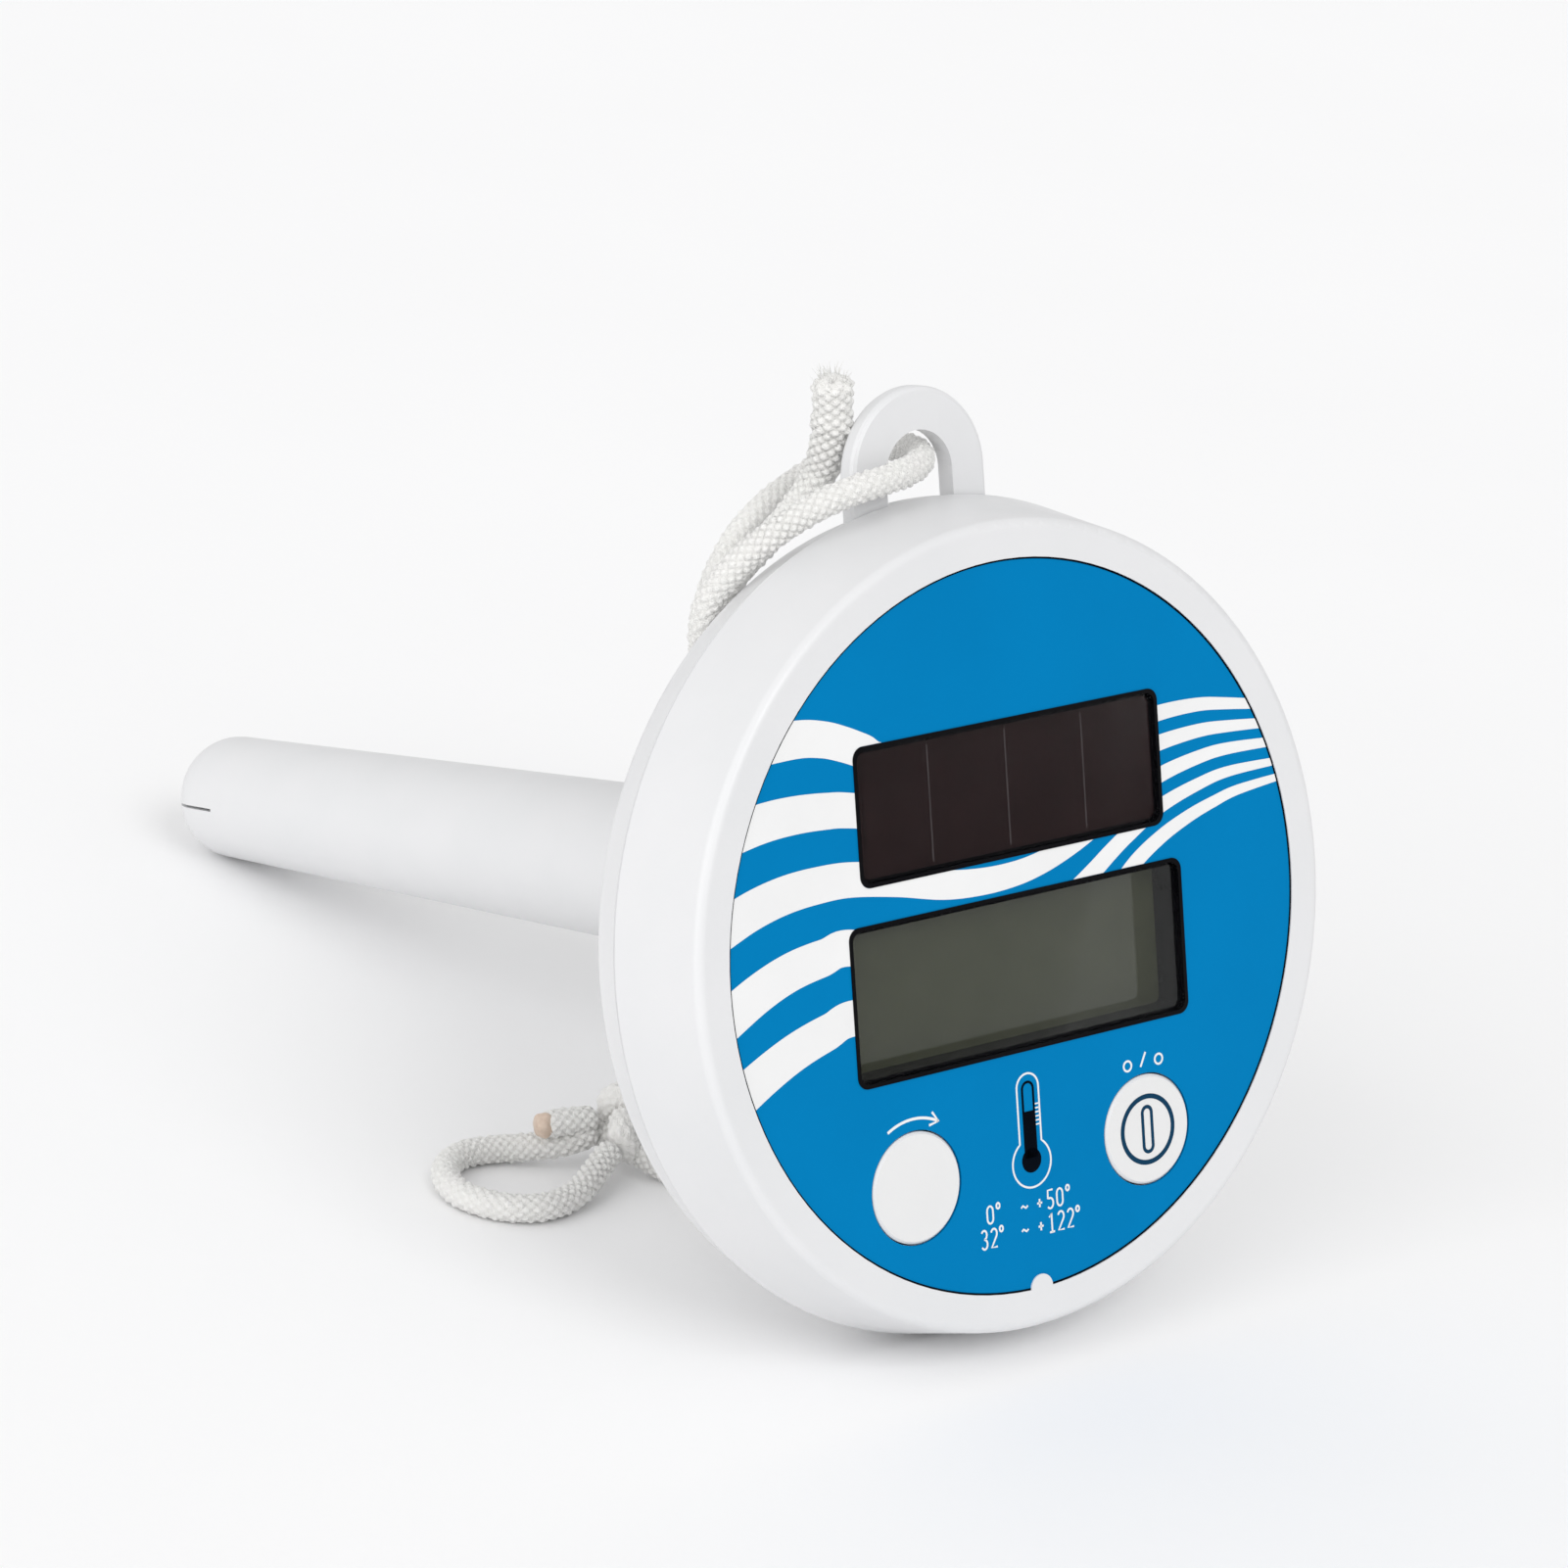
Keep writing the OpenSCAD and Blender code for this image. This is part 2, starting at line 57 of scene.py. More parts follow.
AIM = Vector((-0.01887, -0.05198, 0.06482))
CAMERA_AWAY = 0.812
CAMERA_AZIMUTH = -41.3
CAMERA_ELEVATION = 22.02
CAMERA_ROLL = 6.57
LENS_MM = 157.4
SENSOR_MM = 36


def towards(azimuth, elevation):
    """Direction from the object to a camera or light. Azimuth 0 is in front of the label."""
    a = math.radians(azimuth)
    e = math.radians(elevation)
    return Vector((math.sin(a) * math.cos(e), -math.cos(a) * math.cos(e), math.sin(e)))


def make_camera():
    back = towards(CAMERA_AZIMUTH, CAMERA_ELEVATION)
    lens = bpy.data.cameras.new("camera")
    lens.lens = LENS_MM
    lens.sensor_width = SENSOR_MM
    camera = bpy.data.objects.new("camera", lens)
    bpy.context.scene.collection.objects.link(camera)
    camera.location = AIM + back * CAMERA_AWAY
    camera.rotation_mode = "QUATERNION"
    roll = Quaternion((0, 0, 1), math.radians(CAMERA_ROLL))
    camera.rotation_quaternion = (-back).to_track_quat("-Z", "Y") @ roll
    bpy.context.scene.camera = camera


make_camera()

# ---- Materials ----

WINDOW_MIRROR_SHARE = 0.06


def new_material(name):
    """A node material, its shader and a helper that adds nodes to it."""
    material = bpy.data.materials.new(name)
    material.use_nodes = True
    tree = material.node_tree
    shader = tree.nodes["Principled BSDF"]

    def add(kind, **sockets):
        node = tree.nodes.new(kind)
        for socket, value in sockets.items():
            node.inputs[socket.replace("_", " ")].default_value = value
        return node

    return material, tree, shader, add


def mottle(tree, add, scale, low, high, detail=4.0, stretch=(1, 1, 1)):
    """Noise in the object's own space, mapped to the range from low to high."""
    place = add("ShaderNodeTexCoord")
    mapping = add("ShaderNodeMapping")
    mapping.inputs["Scale"].default_value = stretch
    noise = add("ShaderNodeTexNoise", Scale=scale, Detail=detail)
    span = add("ShaderNodeMapRange")
    span.inputs["From Min"].default_value = 0.3
    span.inputs["From Max"].default_value = 0.7
    span.inputs["To Min"].default_value = low
    span.inputs["To Max"].default_value = high
    tree.links.new(place.outputs["Object"], mapping.inputs["Vector"])
    tree.links.new(mapping.outputs["Vector"], noise.inputs["Vector"])
    tree.links.new(noise.outputs["Fac"], span.inputs["Value"])
    return span.outputs["Result"]


def blend_colours(tree, add, factor, first, second):
    mix = add("ShaderNodeMix")
    mix.data_type = "RGBA"
    mix.inputs["A"].default_value = (*first, 1)
    mix.inputs["B"].default_value = (*second, 1)
    tree.links.new(factor, mix.inputs["Factor"])
    return mix.outputs["Result"]


def bump(tree, add, shader, height, distance):
    node = add("ShaderNodeBump", Strength=1.0, Distance=distance)
    tree.links.new(height, node.inputs["Height"])
    tree.links.new(node.outputs["Normal"], shader.inputs["Normal"])


def moulded(name, colour, worn, rough, grain_mm, grain_depth_mm, blotch_mm=14.0, specular=0.5):
    """Moulded or coated material: slow colour drift, uneven gloss and a fine surface grain."""
    material, tree, shader, add = new_material(name)
    drift = mottle(tree, add, 1 / (blotch_mm * MM), 0, 1)
    tree.links.new(blend_colours(tree, add, drift, colour, worn), shader.inputs["Base Color"])
    gloss = mottle(tree, add, 3 / (blotch_mm * MM), rough[0], rough[1], detail=8)
    tree.links.new(gloss, shader.inputs["Roughness"])
    grain = mottle(tree, add, 1 / (grain_mm * MM), 0, 1, detail=2)
    bump(tree, add, shader, grain, grain_depth_mm * MM)
    shader.inputs["Specular IOR Level"].default_value = specular
    return material


def metal(name, colour, rough, brush):
    """Metal with fine marks that run one way."""
    material, tree, shader, add = new_material(name)
    marks = mottle(tree, add, 900, rough[0], rough[1], detail=6, stretch=brush)
    tree.links.new(marks, shader.inputs["Roughness"])
    tone = blend_colours(tree, add, marks, colour, tuple(c * 0.8 for c in colour))
    tree.links.new(tone, shader.inputs["Base Color"])
    shader.inputs["Metallic"].default_value = 1
    return material


def clear_plastic(name):
    """Clear window: see-through, with a faint haze and a weak reflection of the room."""
    material, tree, _, add = new_material(name)
    haze = mottle(tree, add, 240, 0, 1)
    tone = blend_colours(tree, add, haze, (0.98, 0.985, 0.985), (0.95, 0.96, 0.96))
    clear = add("ShaderNodeBsdfTransparent")
    tree.links.new(tone, clear.inputs["Color"])
    mirror = add("ShaderNodeBsdfGlossy", Roughness=0.05)
    edge = add("ShaderNodeFresnel", IOR=1.49)
    share = add("ShaderNodeMath")
    share.operation = "MULTIPLY"
    share.inputs[1].default_value = WINDOW_MIRROR_SHARE
    mix = add("ShaderNodeMixShader")
    tree.links.new(edge.outputs["Fac"], share.inputs[0])
    tree.links.new(share.outputs["Value"], mix.inputs["Fac"])
    tree.links.new(clear.outputs["BSDF"], mix.inputs[1])
    tree.links.new(mirror.outputs["BSDF"], mix.inputs[2])
    tree.links.new(mix.outputs["Shader"], tree.nodes["Material Output"].inputs["Surface"])
    return material


def braid_fabric(name):
    """Soft fibre with painted shade in the grooves between the strands, and faint warm and cool
    tints.
    """
    material, tree, shader, add = new_material(name)
    relief_and_shade = add("ShaderNodeAttribute")
    relief_and_shade.attribute_name = "relief_and_shade"
    tint = mottle(tree, add, 260, 0, 1)
    raised = blend_colours(tree, add, tint, (0.98, 0.985, 0.955), (0.985, 0.97, 0.955))
    mix = add("ShaderNodeMix")
    mix.data_type = "RGBA"
    # Painted shade: this darker colour is mixed into the grooves wherever the relief mask is low.
    mix.inputs["A"].default_value = (0.90, 0.89, 0.86, 1)
    tree.links.new(raised, mix.inputs["B"])
    tree.links.new(relief_and_shade.outputs["Fac"], mix.inputs["Factor"])
    tree.links.new(mix.outputs["Result"], shader.inputs["Base Color"])
    shader.inputs["Roughness"].default_value = 0.85
    shader.inputs["Sheen Weight"].default_value = 0.5
    shader.inputs["Sheen Roughness"].default_value = 0.5
    fibres = mottle(tree, add, 5200, 0, 1, detail=3)
    bump(tree, add, shader, fibres, 0.12 * MM)
    return material


WHITE_ABS = moulded("white_abs", (0.75, 0.75, 0.76), (0.725, 0.73, 0.74), (0.30, 0.42), 0.35, 0.004)
STEM_ABS = moulded("stem_abs", (0.76, 0.76, 0.77), (0.735, 0.74, 0.75), (0.32, 0.45), 0.4, 0.005)
BUTTON_ABS = moulded("button_abs", (0.77, 0.77, 0.77), (0.75, 0.75, 0.75), (0.35, 0.45), 0.3, 0.004)
LABEL_BLUE = moulded(
    "label_blue", (0, 0.20, 0.475), (0, 0.188, 0.45), (0.4, 0.48), 0.25, 0.002,
    blotch_mm=22, specular=0.02,
)
PRINT_WHITE = moulded(
    "print_white", (0.84, 0.84, 0.84), (0.80, 0.80, 0.80), (0.40, 0.48), 0.25, 0.002,
    specular=0.3,
)
PRINT_BLUE = moulded(
    "print_blue", (0.0, 0.042, 0.10), (0.0, 0.035, 0.085), (0.40, 0.48), 0.25, 0.002,
    specular=0.1,
)
PRINT_BLACK = moulded(
    "print_black", (0.002, 0.003, 0.006), (0.004, 0.006, 0.01), (0.4, 0.5), 0.25, 0.002,
    specular=0.0,
)
FRAME_BLACK = moulded(
    "frame_black", (0.002, 0.002, 0.003), (0.004, 0.004, 0.005), (0.1, 0.18), 0.5, 0.002,
    specular=0.06,
)
CLEAR = clear_plastic("clear_window")
CELL_WAFER = moulded(
    "cell_wafer", (0.019, 0.010, 0.0105), (0.015, 0.008, 0.0085), (0.3, 0.4), 0.6, 0.002,
    blotch_mm=5, specular=0.06,
)
CELL_LINE = moulded(
    "cell_line", (0.07, 0.06, 0.062), (0.05, 0.042, 0.044), (0.3, 0.4), 0.3, 0.002,
    blotch_mm=3, specular=0.1,
)
LCD_OLIVE = moulded(
    "lcd_olive", (0.048, 0.051, 0.030), (0.044, 0.047, 0.027), (0.05, 0.09), 0.2, 0.001,
    blotch_mm=18, specular=0.6,
)
FOIL = metal("reflector_foil", (0.75, 0.76, 0.74), (0.35, 0.5), (1, 1, 1))
HOLDER_WHITE = moulded("holder_white", (0.70, 0.71, 0.69), (0.66, 0.67, 0.65), (0.5, 0.6), 0.4, 0.006)
SILICONE = moulded("silicone", (0.62, 0.64, 0.64), (0.56, 0.58, 0.58), (0.55, 0.7), 0.5, 0.01)
SEAL_RUBBER = moulded("seal_rubber", (0.03, 0.03, 0.032), (0.05, 0.05, 0.052), (0.6, 0.8), 0.3, 0.01)
SOLDER_MASK = moulded(
    "solder_mask", (0.02, 0.16, 0.06), (0.015, 0.12, 0.045), (0.25, 0.4), 0.8, 0.02, blotch_mm=4
)
STEEL = metal("plain_steel", (0.56, 0.56, 0.55), (0.25, 0.4), (1, 12, 1))
CELL_CAN = metal("cell_can", (0.66, 0.66, 0.65), (0.12, 0.25), (1, 1, 8))
EPOXY = moulded("black_epoxy", (0.015, 0.015, 0.016), (0.03, 0.03, 0.03), (0.4, 0.6), 0.3, 0.01)
NYLON = moulded("black_nylon", (0.03, 0.03, 0.032), (0.04, 0.04, 0.042), (0.5, 0.65), 0.3, 0.008)
LEAD_PVC = moulded("lead_pvc", (0.45, 0.02, 0.02), (0.38, 0.018, 0.018), (0.35, 0.5), 0.3, 0.004)
BRAID = braid_fabric("tether_braid")
MELTED = moulded(
    "melted_end", (0.80, 0.66, 0.55), (0.55, 0.42, 0.33), (0.3, 0.5), 0.5, 0.05, blotch_mm=1.6
)
FLOOR = moulded(
    "floor_paper", (0.95, 0.95, 0.955), (0.94, 0.94, 0.945), (0.85, 0.95), 1.5, 0.01,
    blotch_mm=120,
)

# ---- Building pieces ----


def add_piece(name, points, faces, material, body=BODY, smooth=False):
    """A mesh piece in the frame, riding on a body."""
    mesh = bpy.data.meshes.new(name)
    mesh.from_pydata([tuple(p) for p in points], [], [tuple(f) for f in faces])
    mesh.materials.append(material)
    mesh.polygons.foreach_set("use_smooth", [smooth] * len(mesh.polygons))
    mesh.update()
    piece = bpy.data.objects.new(name, mesh)
    bpy.context.scene.collection.objects.link(piece)
    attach(piece, body)
    return piece


# ---- Tether ----

CORD_ROUTE = [
    (-0.0215, -0.04, 0.074), (-0.0215, -0.0375, 0.079), (-0.0195, -0.0355, 0.0825),
    (-0.017, -0.034, 0.0855), (-0.0135, -0.0325, 0.0885), (-0.009, -0.0315, 0.0913),
    (-0.0045, -0.0313, 0.0936), (-0.0007, -0.0325, 0.096), (0.0025, -0.0356, 0.0985),
    (0.0039, -0.04, 0.1002), (0.003, -0.0443, 0.1009), (0.0003, -0.0476, 0.1012),
    (-0.0034, -0.0498, 0.1013), (-0.0075, -0.0508, 0.1012), (-0.0115, -0.051, 0.1008),
    (-0.0152, -0.0504, 0.0997), (-0.019, -0.0492, 0.0976), (-0.0223, -0.0478, 0.0948),
    (-0.025, -0.0459, 0.0911), (-0.0266, -0.044, 0.0868), (-0.0266, -0.0433, 0.082),
    (-0.0252, -0.0433, 0.0765), (-0.0235, -0.0435, 0.07), (-0.021, -0.044, 0.056),
    (-0.019, -0.044, 0.04), (-0.017, -0.044, 0.024), (-0.0145, -0.044, 0.012),
    (-0.011, -0.0423, 0.0052), (-0.0085, -0.038, 0.0023), (-0.0082, -0.033, 0.0019),
    (-0.01, -0.0282, 0.0019), (-0.012, -0.024, 0.003),
]
TAIL_ROUTE = [
    (-0.022, -0.0415, 0.0745), (-0.0228, -0.0405, 0.081), (-0.0203, -0.04, 0.0865),
    (-0.016, -0.0398, 0.0903), (-0.0121, -0.04, 0.094), (-0.0094, -0.0409, 0.0983),
    (-0.0089, -0.0416, 0.1026), (-0.0091, -0.0419, 0.107), (-0.0099, -0.0419, 0.1115),
]
LOOP_ROUTE = [
    (-0.0155, -0.0205, 0.005), (-0.019, -0.019, 0.0035), (-0.0225, -0.0165, 0.0025),
    (-0.0265, -0.014, 0.0019), (-0.031, -0.0135, 0.0019), (-0.035, -0.0155, 0.0019),
    (-0.0375, -0.0195, 0.0019), (-0.0375, -0.024, 0.0019), (-0.035, -0.028, 0.0019),
    (-0.031, -0.03, 0.0019), (-0.0265, -0.0295, 0.0019), (-0.0225, -0.028, 0.0025),
    (-0.019, -0.026, 0.0035), (-0.016, -0.0245, 0.0045),
]
STUB_ROUTE = [(-0.0154, -0.02, 0.0064), (-0.0195, -0.0192, 0.0065), (-0.023, -0.0184, 0.0064)]
HITCH_KNOT_AT = Vector((-0.0215, -0.0415, 0.073))
LOOP_KNOT_AT = Vector((-0.012, -0.021, 0.0055))

BRAID_STRANDS = 8
BRAID_PITCH = 0.0105
BRAID_CORE_R = 0.00142
BRAID_RELIEF = 0.0005
RING_STEP = 0.00022
RING_SIDES = 48
KNOT_POINTS = 24
FIBRE_R = 0.00007
FIBRE_SIDES = 4
FIBRE_STEPS = 4
# Painted shade on the loose fibres: their value on the groove shade mask, a little darker than the
# raised strands.
FIBRE_RELIEF_SHADE = 0.85
MELT_R = 0.0016
MELT_LENGTH = 0.0024
MELT_RINGS = 14
MELT_SIDES = 28


def smooth_line(points, step, closed=False):
    """Catmull-Rom line through the points, resampled so that its own points lie step apart."""
    knots = np.array(points, float)
    count = len(knots)
    dense = []
    for i in range(count if closed else count - 1):
        before = knots[i - 1] if closed or i else knots[0]
        here = knots[i]
        ahead = knots[(i + 1) % count]
        beyond = knots[(i + 2) % count] if closed else knots[min(i + 2, count - 1)]
        for t in np.linspace(0, 1, 16, endpoint=False):
            dense.append(0.5 * (
                2 * here + (ahead - before) * t
                + (2 * before - 5 * here + 4 * ahead - beyond) * t ** 2
                + (3 * here - before - 3 * ahead + beyond) * t ** 3
            ))
    dense.append(knots[0] if closed else knots[-1])
    dense = np.array(dense)
    steps = np.linalg.norm(np.diff(dense, axis=0), axis=1)
    run = np.concatenate(([0], np.cumsum(steps)))
    where = np.linspace(0, run[-1], round(run[-1] / step) + 1)
    line = np.stack([np.interp(where, run, dense[:, axis]) for axis in range(3)], axis=1)
    return line, where


def carried_sides(line, closed=False):
    """Two side vectors at each point of a line, carried along it without twist."""
    if closed:
        ahead = np.roll(line[:-1], -1, axis=0) - np.roll(line[:-1], 1, axis=0)
        ahead = np.concatenate((ahead, ahead[:1]))
    else:
        ahead = np.gradient(line, axis=0)
    ahead /= np.linalg.norm(ahead, axis=1)[:, None]
    side = np.cross(ahead[0], (0.3, 0.4, 1.0))
    sides = []
    for direction in ahead:
        side = side - direction * (side @ direction)
        side /= np.linalg.norm(side)
        sides.append(side)
    first = np.array(sides)
    second = np.cross(ahead, first)
    if closed:
        twist = math.atan2(first[0] @ second[-1], first[0] @ first[-1])
        turn = np.linspace(0, twist, len(line))[:, None]
        first, second = (
            first * np.cos(turn) + -second * np.sin(turn),
            second * np.cos(turn) + first * np.sin(turn),
        )
    return first, second


def braid_relief(along, around):
    """Height of a one-over-one braid, from 0 in a groove to 1 on a strand.

    along is in metres and around in turns.
    """
    left = BRAID_STRANDS * (around + along / BRAID_PITCH)
    right = BRAID_STRANDS * (around - along / BRAID_PITCH)
    across_left = left % 1 - 0.5
    across_right = right % 1 - 0.5
    left_on_top = (np.floor(left) + np.floor(right)) % 2 == 0
    width = np.where(left_on_top, across_left, across_right)
    length = np.where(left_on_top, across_right, across_left)
    uneven = 0.84 + 0.16 * np.sin(2.1 * np.floor(left) + 3.7 * np.floor(right))
    return uneven * np.sqrt(1 - (2 * width) ** 2) * np.cos(math.pi * length) ** 0.45


def braided_tube(name, route, swell=None, closed=False, core_r=BRAID_CORE_R, material=BRAID):
    """A braided cord that follows a route. swell scales its thickness at each length along."""
    line, run = smooth_line(route, RING_STEP, closed)
    first, second = carried_sides(line, closed)
    rings = len(line) - 1 if closed else len(line)
    around = np.arange(RING_SIDES) / RING_SIDES
    relief_and_shade = braid_relief(run[:rings, None], around[None, :])
    radius = core_r + BRAID_RELIEF * relief_and_shade
    if swell is not None:
        radius = radius * swell(run[:rings] / run[-1])[:, None]
    if not closed:
        to_end = np.minimum(run, run[-1] - run) / core_r
        radius = radius * np.sqrt(1 - np.clip(1 - to_end, 0, 0.92) ** 2)[:, None]
    angle = 2 * math.pi * around
    offset = (
        first[:rings, None, :] * np.cos(angle)[None, :, None]
        + second[:rings, None, :] * np.sin(angle)[None, :, None]
    )
    points = (line[:rings, None, :] + radius[:, :, None] * offset).reshape(-1, 3)
    faces = []
    for i in range(rings if closed else rings - 1):
        low = i * RING_SIDES
        high = (i + 1) % rings * RING_SIDES
        for k in range(RING_SIDES):
            ahead = (k + 1) % RING_SIDES
            faces.append((low + k, low + ahead, high + ahead, high + k))
    if not closed:
        faces.append(tuple(range(RING_SIDES))[::-1])
        faces.append(tuple((rings - 1) * RING_SIDES + k for k in range(RING_SIDES)))
    piece = add_piece(name, points, faces, material, smooth=True)
    # The relief height also goes on the points as the mask for the braid's painted groove shade.
    shade = piece.data.attributes.new("relief_and_shade", "FLOAT", "POINT")
    shade.data.foreach_set("value", relief_and_shade.ravel().astype(np.float32))
    return piece, line


def knot_route(centre, size, tilt_turns):
    """A tightened overhand knot as a closed line, turned to look different at each place."""
    turn = Quaternion((0.4, 1.0, 0.2), 2 * math.pi * tilt_turns)
    route = []
    for step in range(KNOT_POINTS):
        t = 2 * math.pi * step / KNOT_POINTS
        local = Vector((
            math.sin(t) + 2 * math.sin(2 * t),
            math.cos(t) - 2 * math.cos(2 * t),
            -1.5 * math.sin(3 * t),
        ))
        route.append(centre + turn @ (local * size / 3))
    return route


def fray(name, route, count, length, seed):
    """Loose fibres that spread out of a cord's cut end."""
    chance = random.Random(seed)
    tip = Vector(route[-1])
    ahead = (tip - Vector(route[-2])).normalized()
    side = ahead.orthogonal().normalized()
    other = ahead.cross(side)
    points = []
    faces = []
    for _ in range(count):
        angle = chance.uniform(0, 2 * math.pi)
        out = side * math.cos(angle) + other * math.sin(angle)
        root = tip - ahead * chance.uniform(0.0, 0.005) + out * chance.uniform(0.0006, 0.0022)
        reach = length * chance.uniform(0.4, 1)
        lean = out * chance.uniform(0.1, 0.7) + side * chance.uniform(-0.2, 0.2)
        start = len(points)
        for step in range(FIBRE_STEPS + 1):
            t = step / FIBRE_STEPS
            spot = root + ahead * reach * t + lean * reach * t * t
            thick = FIBRE_R * (1 - 0.6 * t)
            for k in range(FIBRE_SIDES):
                a = math.pi / 2 * k
                points.append(spot + side * thick * math.cos(a) + other * thick * math.sin(a))
        for step in range(FIBRE_STEPS):
            low = start + step * FIBRE_SIDES
            high = low + FIBRE_SIDES
            for k in range(FIBRE_SIDES):
                ahead_k = (k + 1) % FIBRE_SIDES
                faces.append((low + k, low + ahead_k, high + ahead_k, high + k))
        faces.append(tuple(start + k for k in reversed(range(FIBRE_SIDES))))
        faces.append(tuple(start + FIBRE_STEPS * FIBRE_SIDES + k for k in range(FIBRE_SIDES)))
    piece = add_piece(name, points, faces, BRAID, smooth=True)
    # The fibres take a slight painted shade from the braid's groove shade mask.
    shade = piece.data.attributes.new("relief_and_shade", "FLOAT", "POINT")
    shade.data.foreach_set("value", [FIBRE_RELIEF_SHADE] * len(points))
    return piece


def melted_blob(name, route):
    """The melted end of the stub, pale brown."""
    tip = Vector(route[-1])
    ahead = (tip - Vector(route[-2])).normalized()
    side = ahead.orthogonal().normalized()
    other = ahead.cross(side)
    points = []
    for i in range(MELT_RINGS + 1):
        t = i / MELT_RINGS
        reach = -MELT_R + MELT_LENGTH * t
        swell = math.sqrt(max(0.0, 1 - (2 * t - 1) ** 2)) ** 0.7
        for k in range(MELT_SIDES):
            a = 2 * math.pi * k / MELT_SIDES
            lump = 1 + 0.07 * math.sin(3 * a + 5 * t) + 0.05 * math.sin(5 * a - 7 * t)
            out = side * math.cos(a) + other * math.sin(a)
            points.append(tip + ahead * reach + out * MELT_R * swell * lump)
    faces = []
    for i in range(MELT_RINGS):
        low = i * MELT_SIDES
        high = low + MELT_SIDES
        for k in range(MELT_SIDES):
            ahead_k = (k + 1) % MELT_SIDES
            faces.append((low + k, low + ahead_k, high + ahead_k, high + k))
    return add_piece(name, points, faces, MELTED, smooth=True)


def tail_swell(share):
    """The tail loosens and turns lumpy towards its frayed end."""
    loose = np.clip((share - 0.55) / 0.3, 0, 1)
    return 1 + loose * (0.40 + 0.06 * np.sin(60 * share) + 0.04 * np.sin(97 * share))


tether, tether_line = braided_tube("tether_braid", CORD_ROUTE)
tail, tail_line = braided_tube("tail_braid", TAIL_ROUTE, swell=tail_swell)
loop, loop_line = braided_tube("loop_braid", LOOP_ROUTE)
stub, _ = braided_tube("stub_braid", STUB_ROUTE)
hitch_knot, _ = braided_tube(
    "hitch_knot_braid", knot_route(HITCH_KNOT_AT, 0.0029, 0.1), closed=True, core_r=0.0013
)
loop_knot, _ = braided_tube(
    "loop_knot_braid", knot_route(LOOP_KNOT_AT, 0.0037, 0.3), closed=True, core_r=0.00138
)
tail_fray = fray("tail_fray", TAIL_ROUTE, 170, 0.0017, 7)
stub_melt = melted_blob("stub_melt", STUB_ROUTE)
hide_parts("tether_cord")
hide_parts("tether_tail")
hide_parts("tether_loop")
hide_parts("loop_stub")
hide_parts("hitch_knot")
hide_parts("loop_knot")

# ---- Face ----


def span_along(node, direction):
    """Lowest and highest reach of a CAD node along a direction."""
    reach = [v.co.dot(direction) for v in NODES[node].data.vertices]
    return min(reach), max(reach)


def face_matrix():
    """From millimetres on the face to the frame. The buttons press straight into the face."""
    outward = -Vector(frame["joints"][0]["axis"]).normalized()
    across = Vector((1, 0, 0))
    upward = outward.cross(across)
    low, high = span_along("front_shell", upward)
    centre = upward * (low + high) / 2 + outward * span_along("face_label", outward)[1]
    matrix = Matrix((across, upward, outward)).transposed().to_4x4()
    matrix.translation = centre
    return matrix @ Matrix.Scale(MM, 4)


FACE = face_matrix()
LABEL_R_MM = 44.0
INK_MM = 0.04


def arc(centre, radius, start, end, steps):
    """Points on an arc, with angles in degrees."""
    points = []
    for i in range(steps + 1):
        a = math.radians(start + (end - start) * i / steps)
        points.append((centre[0] + radius * math.cos(a), centre[1] + radius * math.sin(a)))
    return points


class Ink:
    """Gathers flat printed shapes that share one piece, one ink and one height."""

    def __init__(self, low_mm=-0.02, high_mm=INK_MM):
        self.low = low_mm
        self.high = high_mm
        self.points = []
        self.faces = []

    def band(self, left, right, closed=False):
        """A strip between two lines with the same number of points."""
        start = len(self.points)
        count = len(left)
        for a, b in zip(left, right):
            self.points += [(*a, self.low), (*a, self.high), (*b, self.high), (*b, self.low)]
        for i in range(count if closed else count - 1):
            low = start + 4 * i
            high = start + 4 * ((i + 1) % count)
            for k in range(4):
                ahead = (k + 1) % 4
                self.faces.append((low + k, low + ahead, high + ahead, high + k))
        if not closed:
            self.faces.append((start + 3, start + 2, start + 1, start))
            end = start + 4 * (count - 1)
            self.faces.append((end, end + 1, end + 2, end + 3))

    def stroke(self, line, width, closed=False):
        """A line of even width."""
        count = len(line)
        left = []
        right = []
        for i, (x, y) in enumerate(line):
            x0, y0 = line[i - 1] if closed or i else line[0]
            x1, y1 = line[(i + 1) % count] if closed else line[min(i + 1, count - 1)]
            length = math.hypot(x1 - x0, y1 - y0)
            nx = -(y1 - y0) / length * width / 2
            ny = (x1 - x0) / length * width / 2
            left.append((x + nx, y + ny))
            right.append((x - nx, y - ny))
        self.band(left, right, closed)

    def ring(self, centre, radius, width, steps=72):
        self.stroke(arc(centre, radius, 0, 360 * (1 - 1 / steps), steps - 1), width, closed=True)

    def disc(self, centre, radius, steps=48):
        edge = arc(centre, radius, 0, 360 * (1 - 1 / steps), steps - 1)
        start = len(self.points)
        self.points += [(x, y, self.low) for x, y in edge] + [(x, y, self.high) for x, y in edge]
        self.faces.append(tuple(range(start + steps - 1, start - 1, -1)))
        self.faces.append(tuple(range(start + steps, start + 2 * steps)))
        for k in range(steps):
            ahead = (k + 1) % steps
            self.faces.append((start + k, start + ahead, start + steps + ahead, start + steps + k))

    def piece(self, name, material, slot, body=BODY):
        points = [FACE @ Vector(p) for p in self.points]
        return add_piece(name, points, self.faces, material, body)


# Windows and buttons on the face, as in the CAD part.
SOLAR_MM = {"x": 0, "y": 16.9, "w": 47.4, "h": 16.7}
LCD_MM = {"x": 0, "y": -5.4, "w": 52.0, "h": 19.2}
CORNER_MM = 1.5
BUTTON_X_MM = 18.2
BUTTON_Y_MM = -28.1
BUTTON_TOP_MM = 0.15
SOLAR_CELL_TOP_MM = -0.58
WINDOW_PLAY_MM = 0.03

